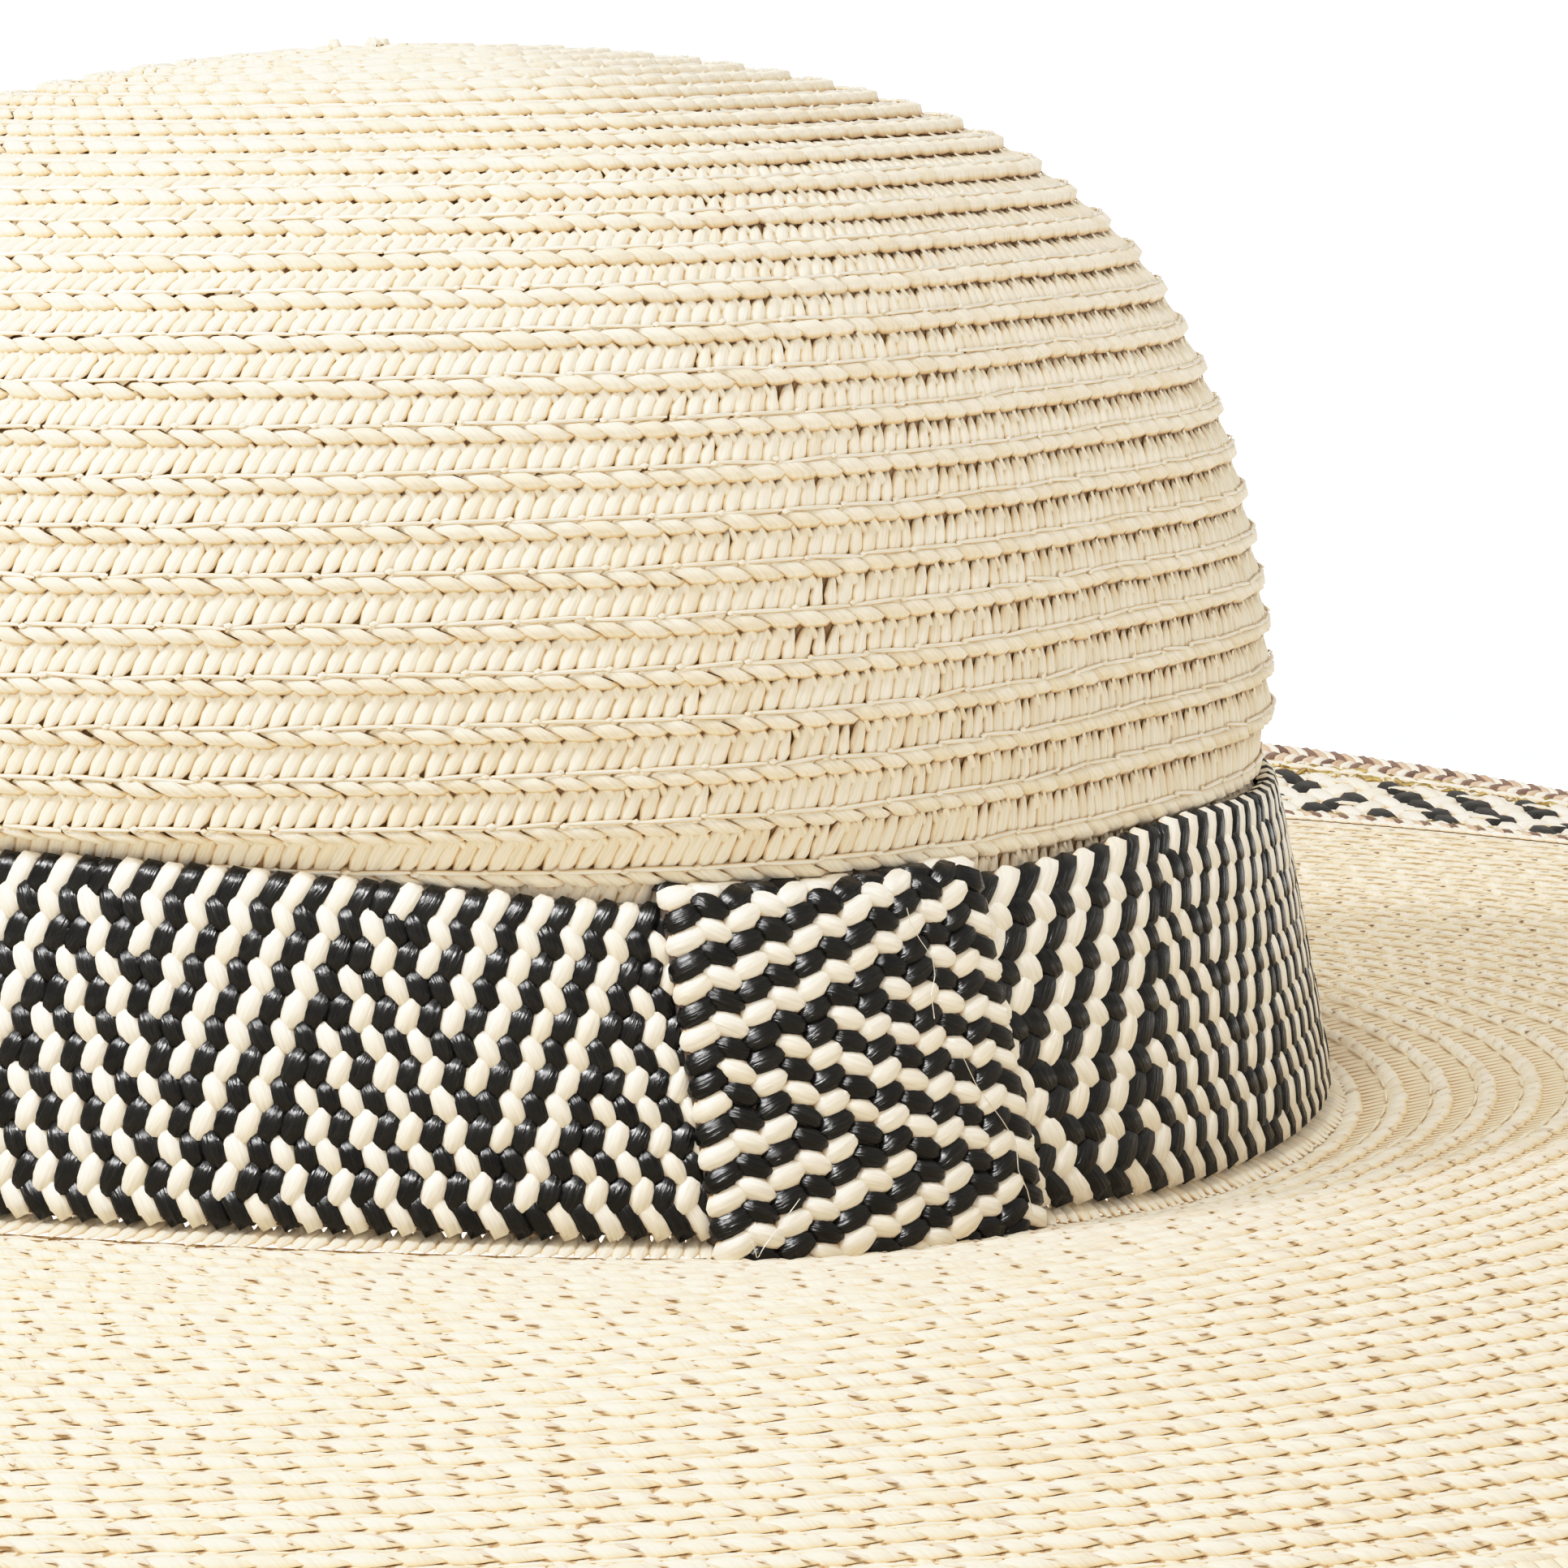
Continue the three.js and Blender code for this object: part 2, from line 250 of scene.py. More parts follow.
def folded(along, length, corner):
    """A strip that folds inwards at both ends: how far along it a point is and how far in."""
    over = np.maximum(-along, along - length)
    sign = np.where(along < length / 2, -1, 1)
    turn = np.clip(over / corner, 0, np.pi / 2)
    inwards = corner * (1 - np.cos(turn)) + np.maximum(over - corner * np.pi / 2, 0)
    edge = np.where(sign < 0, 0, length)
    flat = np.clip(along, 0, length)
    return np.where(over > 0, edge + sign * corner * np.sin(turn), flat), np.where(over > 0, inwards, 0)


BAND_CORNER = 0.8 * MM
BAND_FACE = 1.3 * MM


def band_surface(azimuth, across):
    """Across runs down the band's face and folds over at its two edges."""
    length = band_height(azimuth) - 2 * BAND_CORNER
    down, inwards = folded(across * length / (BAND_HEIGHT - 2 * BAND_CORNER), length, BAND_CORNER)
    height = band_height(azimuth) - BAND_CORNER - down
    radius = band_seat_radius(azimuth, height) + GAP + BAND_FACE - inwards
    return point_at(azimuth, radius, band_bottom(azimuth) + height)


KEEPER_HALF = 16.8 * MM
KEEPER_RADIUS = 92 * MM
KEEPER_CORNER = 1.6 * MM
KEEPER_FACE = 3.6 * MM


def keeper_surface(across, down):
    """Across runs from the keeper's left edge, in degrees of a circle of KEEPER_RADIUS."""
    width = 2 * KEEPER_HALF
    side, side_in = folded(np.radians(across) * KEEPER_RADIUS, width, KEEPER_CORNER)
    middle = KEEPER_BOTTOM + np.degrees((side - KEEPER_HALF) / KEEPER_RADIUS)
    length = band_height(middle) + 0.5 * MM
    fall, fall_in = folded(down, length, KEEPER_CORNER)
    height = band_height(middle) - 0.1 * MM - fall
    azimuth = middle + (KEEPER_TOP - KEEPER_BOTTOM) * height / BAND_HEIGHT
    radius = band_seat_radius(azimuth, height) + GAP + KEEPER_FACE - side_in - fall_in
    return point_at(azimuth, radius, band_bottom(azimuth) + height)


# Stitches

def lens(length, width, height, stations=5, points=4, blunt=0.25, lean=0.0, tilt=0.0, full=2.6,
         power=0.5, grow=0.0, grain=0.0, ends=0.0):
    """A strand's visible stretch, round across. Blunt is the share of its width left at its
    ends, full and power shape its outline, and grow makes its right-hand end the wider one.
    Grain turns its fibres, and ends is how dark the painted shade in the crease at its two ends is."""
    u, v = np.meshgrid(
        np.linspace(-1, 1, stations), np.sin(np.linspace(-np.pi / 2, np.pi / 2, points)), indexing="ij",
    )
    taper = (blunt + (1 - blunt) * np.clip(1 - np.abs(u) ** full, 0, 1) ** power) * (1 + grow * u)
    crest = np.sqrt(np.clip(1 - v ** 2, 0, 1))
    rise = crest * (0.35 + 0.65 * np.sqrt(np.clip(1 - u ** 4, 0, 1)))
    x = u * length / 2 + lean * v * width / 2
    y = v * width / 2 * taper
    z = rise * height + tilt * u
    index = np.arange(stations * points).reshape(stations, points)
    quads = np.stack([
        index[:-1, :-1], index[:-1, 1:], index[1:, 1:], index[1:, :-1],
    ], axis=-1).reshape(-1, 4)
    c, s = math.cos(math.radians(grain)), math.sin(math.radians(grain))
    uv = np.stack([(c * x + s * y) / MM, (c * y - s * x) / MM], axis=-1).reshape(-1, 2)
    xyz = np.stack([x, y, z], axis=-1).reshape(-1, 3)
    # Edge marks where the materials paint shade: on the two sides, and at the two ends as strong as ends
    edge = np.maximum(1 - crest, ends * np.abs(u) ** 8).ravel()
    return {"xyz": xyz, "uv": uv, "quads": quads, "edge": edge}


def turned(shape, degrees):
    """The shape turned in its own plane: positive raises its right-hand end."""
    c, s = math.cos(math.radians(degrees)), math.sin(math.radians(degrees))
    x, y, z = shape["xyz"].T
    return {**shape, "xyz": np.stack([c * x + s * y, c * y - s * x, z], axis=-1)}


def transposed(shape):
    """The shape with its two directions exchanged, and its faces turned to match."""
    x, y, z = shape["xyz"].T
    return {**shape, "xyz": np.stack([y, x, z], axis=-1), "quads": shape["quads"][:, ::-1]}


class Weave:
    """Stitches that become one mesh, with fibre coordinates, a tone and a material each. The
    attribute edge is 1 along a stitch's two sides and 0 on its crest."""

    def __init__(self, name, materials):
        self.name = name
        self.materials = materials
        self.parts = []
        self.count = 0

    def add(self, xyz, quads, uv, tone, material, edge):
        self.parts.append((xyz, quads + self.count, uv, tone, material, edge))
        self.count += len(xyz)

    def lay(self, surface, azimuth, across, shape, material=0, slope=0.0, base=0.0,
            jitter=0.08, wide=1.0):
        """Lays one shape at every azimuth and distance. Slope tips it across the row, base
        lifts it, jitter varies it at random, and wide draws it out along the row."""
        azimuth = np.asarray(azimuth, float)
        across = np.broadcast_to(np.asarray(across, float), azimuth.shape)
        count = len(azimuth)
        if count == 0:
            return
        turn = np.radians(rng.normal(0, 45 * jitter, count))[:, None]
        scale = 1 + rng.normal(0, jitter * 0.7, (count, 1))
        shift = rng.normal(0, jitter * 0.9 * MM, (2, count, 1))
        x, y, z = (shape["xyz"][None, :, i] for i in range(3))
        x, y = (
            scale * (np.cos(turn) * x - np.sin(turn) * y) + shift[0],
            scale * (np.sin(turn) * x + np.cos(turn) * y) + shift[1],
        )
        lift = z * scale + base + slope * y
        x = x * np.broadcast_to(wide, count)[:, None]
        centre = surface(azimuth, across)
        radius = np.hypot(centre[:, 0], centre[:, 1])[:, None]
        if surface is keeper_surface:
            radius = KEEPER_RADIUS
        angles = azimuth[:, None] + np.degrees(x / radius)
        distance = across[:, None] + y
        xyz = raised(surface, angles, distance, lift)
        size = len(shape["xyz"])
        quads = (shape["quads"][None] + size * np.arange(count)[:, None, None]).reshape(-1, 4)
        uv = (shape["uv"][None] + rng.uniform(0, 400, (count, 1, 2))).reshape(-1, 2)
        tone = np.repeat(rng.uniform(0, 1, count), size)
        material = np.repeat(np.broadcast_to(material, count), len(shape["quads"]))
        self.add(xyz.reshape(-1, 3), quads, uv, tone, material, np.tile(shape["edge"], count))

    def strip(self, surface, across, offsets, circumference, steps=180, material=0, flip=False,
              rows=(0.0,), azimuths=(0.0, 360.0)):
        """A plain ring of wall for each row, with stations across it at the given offsets."""
        across, offsets = np.asarray(across, float), np.asarray(offsets, float)
        turn = np.linspace(azimuths[0], azimuths[1], steps + 1)
        for row in rows:
            angles, distance = np.meshgrid(turn, row + across, indexing="ij")
            lift = np.broadcast_to(offsets, angles.shape)
            xyz = raised(surface, angles, distance, lift)
            around = circumference(row) if callable(circumference) else circumference
            u = np.round(around / LEAF) * angles / 360
            uv = np.stack([u, (distance - row) / PITCH], axis=-1)
            index = np.arange(angles.size).reshape(angles.shape)
            quads = np.stack([
                index[:-1, :-1], index[:-1, 1:], index[1:, 1:], index[1:, :-1],
            ], axis=-1).reshape(-1, 4)
            if flip:
                quads = quads[:, ::-1]
            tone, edge = np.full(angles.size, 0.5), np.zeros(angles.size)
            slot = np.full(len(quads), material)
            self.add(xyz.reshape(-1, 3), quads, uv.reshape(-1, 2), tone, slot, edge)

    def fibre(self, surface, azimuth, across, lift, material, width=0.05 * MM):
        """A thin loose fibre through the given places."""
        stops = np.arange(len(azimuth))
        fine = np.linspace(0, len(azimuth) - 1, 6 * len(azimuth))
        bend = np.interp(fine, stops, rng.normal(0, 0.15 * MM, len(azimuth)))
        a, d = np.interp(fine, stops, azimuth), np.interp(fine, stops, across)
        side = np.degrees(width / KEEPER_RADIUS)
        corners = [
            raised(surface, a + shift * side, d, lift + rise * width + bend)
            for shift, rise in ((-1, 0), (0, 1.7), (1, 0))
        ]
        xyz = np.stack(corners, axis=1)
        index = np.arange(xyz.shape[0] * 3).reshape(-1, 3)
        quads = np.vstack([
            np.stack([index[:-1, i], index[1:, i], index[1:, i - 2], index[:-1, i - 2]], axis=-1)
            for i in range(3)
        ])
        count = index.size
        flat = np.zeros(count)
        material = np.full(len(quads), material)
        self.add(xyz.reshape(-1, 3), quads, np.zeros((count, 2)), flat + 1, material, flat)

    def build(self):
        xyz = np.vstack([p[0] for p in self.parts])
        quads = np.vstack([p[1] for p in self.parts])
        uv = np.vstack([p[2] for p in self.parts])
        tone = np.concatenate([p[3] for p in self.parts])
        material = np.concatenate([p[4] for p in self.parts])
        edge = np.concatenate([p[5] for p in self.parts])
        mesh = bpy.data.meshes.new(self.name)
        mesh.from_pydata(xyz.tolist(), [], quads.tolist())
        mesh.polygons.foreach_set("material_index", material.astype(np.int32))
        layer = mesh.uv_layers.new(name="fibres")
        layer.data.foreach_set("uv", uv[quads.ravel()].astype(np.float32).ravel())
        for name, values in (("tone", tone), ("edge", edge)):
            attribute = mesh.attributes.new(name, "FLOAT", "POINT")
            attribute.data.foreach_set("value", values.astype(np.float32))
        mesh.shade_smooth()
        for item in self.materials:
            mesh.materials.append(item)
        piece = bpy.data.objects.new(self.name, mesh)
        bpy.context.scene.collection.objects.link(piece)
        return piece


def raised(surface, azimuth, across, lift):
    """Points a height above a surface, square to it."""
    step_a, step_t = 0.02, 0.02 * MM
    centre = surface(azimuth, across)
    along = surface(azimuth + step_a, across) - centre
    down = surface(azimuth, across + step_t) - centre
    normal = np.cross(down, along)
    size = np.linalg.norm(normal, axis=-1, keepdims=True)
    return centre + normal / np.maximum(size, 1e-12) * lift[..., None]


def dress(piece):
    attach(piece, "root")
    return piece


# Materials

class Nodes:
    """Shorthand for one node material."""

    def __init__(self, name):
        self.material = bpy.data.materials.new(name)
        self.material.use_nodes = True
        self.tree = self.material.node_tree
        self.tree.nodes.clear()
        self.output = self.add("ShaderNodeOutputMaterial")
        self.shader = self.add("ShaderNodeBsdfPrincipled")
        self.link(self.shader.outputs["BSDF"], self.output.inputs["Surface"])

    def add(self, kind, **values):
        node = self.tree.nodes.new(kind)
        for key, value in values.items():
            setattr(node, key, value)
        return node

    def link(self, source, target):
        self.tree.links.new(source, target)

    def set(self, **values):
        for key, value in values.items():
            self.shader.inputs[key.replace("_", " ")].default_value = value

    def math(self, operation, a, b=None, c=None):
        node = self.add("ShaderNodeMath", operation=operation)
        for socket, value in zip(node.inputs, (a, b, c)):
            if isinstance(value, (int, float)):
                socket.default_value = value
            elif value is not None:
                self.link(value, socket)
        return node.outputs[0]

    def attribute(self, name):
        return self.add("ShaderNodeAttribute", attribute_name=name).outputs["Fac"]

    def fibres(self):
        return self.add("ShaderNodeUVMap", uv_map="fibres").outputs["UV"]

    def noise(self, vector, scale, stretch=(1, 1, 1), detail=3.0):
        place = self.add("ShaderNodeMapping")
        place.inputs["Scale"].default_value = stretch
        self.link(vector, place.inputs["Vector"])
        node = self.add("ShaderNodeTexNoise")
        node.inputs["Scale"].default_value = scale
        node.inputs["Detail"].default_value = detail
        self.link(place.outputs[0], node.inputs["Vector"])
        return node.outputs["Fac"]

    def ramp(self, factor, *stops):
        node = self.add("ShaderNodeValToRGB")
        elements = node.color_ramp.elements
        while len(elements) < len(stops):
            elements.new(0.5)
        for element, (position, colour) in zip(elements, stops):
            element.position = position
            element.color = (*colour, 1)
        self.link(factor, node.inputs["Fac"])
        return node.outputs["Color"]

    def mix(self, factor, a, b, blend="MIX"):
        node = self.add("ShaderNodeMix", data_type="RGBA", blend_type=blend)
        for socket, value in zip((node.inputs["Factor"], node.inputs[6], node.inputs[7]), (factor, a, b)):
            if isinstance(value, tuple):
                socket.default_value = (*value, 1)
            elif isinstance(value, (int, float)):
                socket.default_value = value
            else:
                self.link(value, socket)
        return node.outputs[2]

    def bump(self, height, distance, strength=1.0):
        node = self.add("ShaderNodeBump")
        node.inputs["Distance"].default_value = distance
        node.inputs["Strength"].default_value = strength
        self.link(height, node.inputs["Height"])
        self.link(node.outputs[0], self.shader.inputs["Normal"])

    def colour(self, value):
        self.link(value, self.shader.inputs["Base Color"])


FINE = ((0.3, 0.83), (0.6, 1.0))
COARSE = ((0.3, 0.7), (0.6, 1.0))
# Painted glints: a few fibres are painted lighter, standing in for the highlights on black strands
PAINTED_GLINTS = ((0.35, 0.3), (0.57, 0.45), (0.68, 1.0))


def strand_material(name, dark, light, roughness, fibre=0.07 * MM, bands=FINE, specular=0.4,
                    rim=(0.80, 0.63, 0.42), crease_shade=(0.50, 0.34, 0.20), count=4.5, streak=0.0, **more):
    """Parallel fibres along each strand, with a tone of its own for every strand. The rim
    colour is painted shade along its two sides and the crease colour is painted shade on the line
    where strands meet. Count is the number of fibres per millimetre, and bands are how light they
    are: pairs of noise level and lightness. Streak is how far its gloss is drawn out across the fibres."""
    nodes = Nodes(name)
    fine = nodes.noise(nodes.fibres(), 1.0, (0.3, count, 1), 4)
    base = nodes.ramp(nodes.attribute("tone"), (0.0, dark), (0.45, light), (1.0, light))
    shade = nodes.ramp(fine, *((level, (value,) * 3) for level, value in bands))
    # Painted shade: the rim colour along each stitch's sides, the crease colour where stitches meet
    side = nodes.ramp(nodes.attribute("edge"), (0.45, (1, 1, 1)), (0.85, rim), (1.0, crease_shade))
    nodes.colour(nodes.mix(1.0, nodes.mix(1.0, base, shade, "MULTIPLY"), side, "MULTIPLY"))
    nodes.bump(fine, fibre)
    if streak:
        tangent = nodes.add("ShaderNodeTangent", direction_type="UV_MAP", uv_map="fibres")
        nodes.link(tangent.outputs[0], nodes.shader.inputs["Tangent"])
        nodes.set(Anisotropic=streak, Anisotropic_Rotation=0.25)
    nodes.set(Roughness=roughness, Specular_IOR_Level=specular, **more)
    return nodes.material


def braid_back_material(name, light, gap_shade):
    """The back of the braid: slanting strands with slots of painted shade, from the row coordinates."""
    nodes = Nodes(name)
    split = nodes.add("ShaderNodeSeparateXYZ")
    nodes.link(nodes.fibres(), split.inputs[0])
    along, across = split.outputs["X"], split.outputs["Y"]
    slant = nodes.math("ADD", nodes.math("MULTIPLY", along, 2.0), nodes.math("MULTIPLY", across, 0.6))
    wave = nodes.math("PINGPONG", slant, 0.5)
    round_top = nodes.math("POWER", nodes.math("MULTIPLY", wave, 2.0), 0.5)
    fine = nodes.noise(nodes.fibres(), 1.0, (22, 3, 1), 3)
    height = nodes.math("ADD", round_top, nodes.math("MULTIPLY", fine, 0.25))
    strand = nodes.ramp(fine, (0.3, tuple(0.86 * x for x in light)), (0.65, light))
    slot = nodes.ramp(round_top, (0.12, (1, 1, 1)), (0.4, (0, 0, 0)))
    nodes.colour(nodes.mix(slot, strand, gap_shade))
    nodes.bump(height, 0.35 * MM)
    nodes.set(Roughness=0.75, Specular_IOR_Level=0.25)
    return nodes.material


def braid_face_material(name, light, gap_shade):
    """The strands between two cords of the braid: gaps open between them near the inner cord, filled with
    painted shade.
    """
    nodes = Nodes(name)
    split = nodes.add("ShaderNodeSeparateXYZ")
    nodes.link(nodes.fibres(), split.inputs[0])
    along, across = split.outputs["X"], split.outputs["Y"]
    slant = nodes.math("ADD", nodes.math("MULTIPLY", along, 2.0), nodes.math("MULTIPLY", across, 0.5))
    wave = nodes.math("MULTIPLY", nodes.math("PINGPONG", slant, 0.5), 2.0)
    patches = nodes.noise(nodes.fibres(), 1.0, (1.3, 1, 1), 2)
    depth = nodes.math("MULTIPLY", nodes.math("ADD", across, 0.3), nodes.math("MULTIPLY", patches, -1.8))
    fine = nodes.noise(nodes.fibres(), 1.0, (16, 2, 1), 3)
    space = nodes.math("SUBTRACT", nodes.math("ADD", wave, nodes.math("MULTIPLY", fine, 0.3)), depth)
    strand = nodes.ramp(fine, (0.3, tuple(0.88 * x for x in light)), (0.65, light))
    slot = nodes.ramp(space, (0.12, (1, 1, 1)), (0.35, (0, 0, 0)))
    nodes.colour(nodes.mix(slot, strand, gap_shade))
    nodes.bump(nodes.math("POWER", wave, 0.5), 0.3 * MM)
    nodes.set(Roughness=0.6, Specular_IOR_Level=0.3)
    return nodes.material


STRAW_DARK = (0.89, 0.775, 0.585)
STRAW_LIGHT = (0.95, 0.865, 0.70)
CREAM = (0.93, 0.85, 0.68)
# Painted shade on the sides of the black strands and where they meet
CHARCOAL_SIDE_SHADE = (0.5, 0.45, 0.4)

# Every strand material below paints shade with its rim and crease colours: along each strand's sides and
# where strands meet
straw = strand_material("straw", STRAW_DARK, STRAW_LIGHT, 0.55, Sheen_Weight=0.08)
thread = strand_material("sewing_thread", CREAM, (0.96, 0.91, 0.79), 0.4, fibre=0.02 * MM)
brim_straw = strand_material(
    "brim_straw", STRAW_DARK, STRAW_LIGHT, 0.55, rim=(0.94, 0.83, 0.66), crease_shade=(0.84, 0.62, 0.38))
shaded = strand_material("shaded_straw", (0.72, 0.61, 0.48), (0.88, 0.78, 0.64), 0.6, rim=(0.9, 0.8, 0.7))
# Painted shade in the gaps between the strands
groove = braid_face_material("straw_between_cords", (0.93, 0.80, 0.58), (0.55, 0.36, 0.19))
# Painted shade: the straw seen behind the crown's cords is a dark sheet, darker still in its slots
painted_shade_gaps = braid_back_material("straw_gaps_painted_shade", (0.42, 0.25, 0.12), (0.12, 0.06, 0.03))
# Painted shade in the slots of the braid's back
back = braid_back_material("straw_back", (0.90, 0.79, 0.60), (0.58, 0.40, 0.24))
charcoal = strand_material(
    "charcoal_strand", (0.004, 0.004, 0.004), (0.014, 0.014, 0.013), 0.24, fibre=0.25 * MM,
    bands=PAINTED_GLINTS, specular=0.22, rim=CHARCOAL_SIDE_SHADE, crease_shade=CHARCOAL_SIDE_SHADE, count=3.2, streak=0.5)
natural = strand_material(
    "natural_strand", (0.94, 0.86, 0.71), (0.97, 0.91, 0.79), 0.5, rim=(0.86, 0.70, 0.52), count=3.5,
    specular=0.15)
# Painted shade: a dark core under the plait, showing as shade between its stitches
core_shade = strand_material("plait_core_shade", (0.05, 0.03, 0.02), (0.08, 0.05, 0.03), 0.7)
matt_black = strand_material(
    "matt_charcoal_strand", (0.02, 0.02, 0.019), (0.05, 0.048, 0.045), 0.5, fibre=0.12 * MM,
    bands=PAINTED_GLINTS, specular=0.25, rim=CHARCOAL_SIDE_SHADE, crease_shade=CHARCOAL_SIDE_SHADE, count=3)
copper = strand_material("copper_strand", (0.62, 0.41, 0.28), (0.76, 0.56, 0.41), 0.4, bands=COARSE)
brown = strand_material("brown_strand", (0.14, 0.075, 0.052), (0.24, 0.14, 0.10), 0.4, bands=COARSE)
gold = strand_material(
    "gold_thread", (0.45, 0.27, 0.05), (1.0, 0.80, 0.34), 0.28, fibre=0.12 * MM, rim=(0.7, 0.6, 0.4),
    Metallic=1.0)


# Crown

UPPER_ROWS = 20
TIP_ROW = 1.6 * MM
STRAND = 4.7 * MM

# How far a row's strands reach above its cord
STRAND_REACH = 4 * MM

# Nubs at the start of the braid: azimuth, millimetres from the tip
NUBS = ((340, 3.7), (5, 5), (352, 8.4))


def crown_row_radius(across):
    return np.interp(min(across, CROWN_END), CROWN_ARC, CROWN_R)


def ring(count, phase):
    return phase + 360 * np.arange(count) / count


def pushed(azimuth):
    """How far the strands are pushed up under the row above. At the back they gape instead."""
    return PUSH[1] * np.cos(np.radians(azimuth - PUSH[0]))


def gapes(azimuth):
    """True where the strands stand apart, with a ragged limit."""
    return pushed(azimuth) < 0.1 * MM * rng.normal(0, 1, len(azimuth))


def lay_strands(weave, surface, across, size, strands, crossing):
    """The leaning strands of a row of braid at their azimuths, and those that cross behind
    them. A strand is half as wide as the given size."""
    full = lens(STRAND, 0.5 * size, 0.5 * MM, stations=4, blunt=0.4, full=2.2, grow=-0.25)
    thin = lens(STRAND, 0.4 * size, 0.5 * MM, stations=4, blunt=0.3, full=2.2, grow=-0.75)
    broad = lens(2.6 * MM, 1.4 * MM, 0.35 * MM, stations=3, points=3, blunt=0.6, tilt=-0.15 * MM)
    narrow = lens(2.6 * MM, 0.85 * MM, 0.35 * MM, stations=3, points=3, blunt=0.6, tilt=-0.15 * MM)
    full, thin = turned(full, 61), turned(thin, 64)
    broad, narrow = turned(broad, -60), turned(narrow, -60)
    gaping, open_places = gapes(strands), gapes(crossing)
    closed = crossing[~open_places]
    for azimuth, shape, middle, slope, depth in (
        (crossing[open_places][::3], narrow, 3.0 * MM, -0.1, 0.75 * MM),
        (closed[::2], narrow, 3.0 * MM, -0.1, 0.7 * MM),
        (closed[1::2], broad, 3.0 * MM, -0.1, 0.75 * MM),
        (strands[~gaping], full, 2.3 * MM, 0.17, 0.65 * MM),
        (strands[gaping], thin, 2.3 * MM, 0.2, 0.65 * MM),
    ):
        place = across - middle - pushed(azimuth)
        weave.lay(surface, azimuth, place, shape, slope=slope, base=-depth, jitter=0.06)


def braid_row(weave, surface, across, radius, keep=None):
    """One row of straw braid: leaning strands, the twisted cord at its lower edge, and the
    sewing thread with its knots. Keep says which azimuths show."""
    count = max(int(round(2 * math.pi * radius / LEAF)), 5)
    size = 2 * math.pi * radius / count
    start = rng.uniform(0, 360)
    pitch = 360 / count

    def kept(azimuth, above=0.0):
        return azimuth if keep is None else azimuth[keep(azimuth % 360, across - above)]

    # ends=1.0 paints shade in the crease at each join of the cord
    cord = lens(
        1.04 * size, 1.9 * MM, 1.05 * MM, stations=6, blunt=0.42, lean=1.1, tilt=0.2 * MM, full=4,
        grain=42, ends=1.0)
    stitch = lens(6.1 * MM, 0.48 * MM, 0.38 * MM, points=3, blunt=0.6)
    knot = lens(0.8 * MM, 0.7 * MM, 0.45 * MM, stations=3, points=3, blunt=0.4)
    if across > PITCH:
        strands, crossing = ring(2 * count, start), ring(2 * count, start + 0.405 * pitch)
        strands, crossing = kept(strands, STRAND_REACH), kept(crossing, STRAND_REACH)
        lay_strands(weave, surface, across, size, strands, crossing)
    weave.lay(surface, kept(ring(count, start)), across, cord, base=-0.55 * MM, jitter=0.05)
    if radius > 12 * MM:
        half = ring(max(count // 2, 3), start + pitch / 2)
        line, knots = across - 0.85 * MM, across - 0.9 * MM
        weave.lay(surface, kept(half), line, stitch, material=1, slope=0.1, base=0.12 * MM, jitter=0.05)
        weave.lay(surface, kept(half + pitch), knots, knot, material=1, base=0.15 * MM, jitter=0.1)


def above_band(azimuth, across):
    """True where a crown row shows above the band's top edge."""
    height = crown_surface(azimuth, np.full_like(azimuth, across))[..., 2]
    return height > band_bottom(azimuth) + band_height(azimuth) - 2.5 * MM


def crown_girth(across):
    return 2 * math.pi * crown_row_radius(across)


def make_crown_tip(weave):
    """The first turn of the spiral, and the nub where the braid starts."""
    braid_row(weave, crown_surface, TIP_ROW, TIP_ROW)
    nub = lens(3 * MM, 1.6 * MM, 1.2 * MM, blunt=0.4)
    azimuth, across = np.array(NUBS).T
    weave.lay(crown_surface, azimuth, across * MM, nub, base=0.1 * MM, jitter=0.2)


def make_crown_foot(weave):
    """Strands that fill the corner under the band."""
    count = int(2 * math.pi * BREAK_RADIUS / LEAF)
    foot = CROWN_END + LOWER_CROWN
    lay_strands(weave, crown_surface, foot, LEAF, ring(2 * count, 0), ring(2 * count, 0.6))


def make_crown():
    count = int((CROWN_END - FIRST_CROWN_ROW) / PITCH) + 4
    rows = FIRST_CROWN_ROW + PITCH * np.arange(count)
    upper = Weave("crown_upper_rows", [straw, thread])
    make_crown_tip(upper)
    for across in rows[:UPPER_ROWS]:
        braid_row(upper, crown_surface, across, crown_row_radius(across), above_band)
    dress(upper.build())
    lower = Weave("crown_lower_rows", [straw, thread])
    for across in rows[UPPER_ROWS:]:
        braid_row(lower, crown_surface, across, crown_row_radius(across), above_band)
    make_crown_foot(lower)
    dress(lower.build())
    make_crown_shell(rows)


def make_crown_shell(rows):
    """The braid behind the cords outside, painted dark as shade, and its back inside."""
    shell = Weave("crown_shell", [painted_shade_gaps, back])
    every = np.concatenate([rows, rows[-1] + PITCH * np.arange(1, 6)])
    inside = [x for x in every if x < CROWN_END + LOWER_CROWN]
    outer, dents = np.array([(-4.7, -0.75), (-3.0, -1.2), (0, -0.75)]).T * MM
    shell.strip(crown_surface, outer, dents, crown_girth, steps=120, rows=inside)
    inner, ribs = np.array([(-4.7, -2.1), (-4.4, -1.7), (-2.4, -1.95), (0, -2.1)]).T * MM
    shell.strip(crown_surface, inner, ribs, crown_girth, steps=120, material=1, flip=True, rows=inside)
    piece = dress(shell.build())
    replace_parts(piece, "crown_tip", "crown_shoulder", "crown_side")


# Brim

# Pieces of the brim: name, first row, the row after the last
BRIM_PIECES = (
    ("brim_inner_rows", 0, 12),
    ("brim_middle_rows", 12, 21),
    ("brim_outer_rows", 21, BRIM_ROWS),
)
JOINS_THAT_SHOW = 0.75


def brim_girth(across):
    return 2 * math.pi * (BREAK_RADIUS + across)


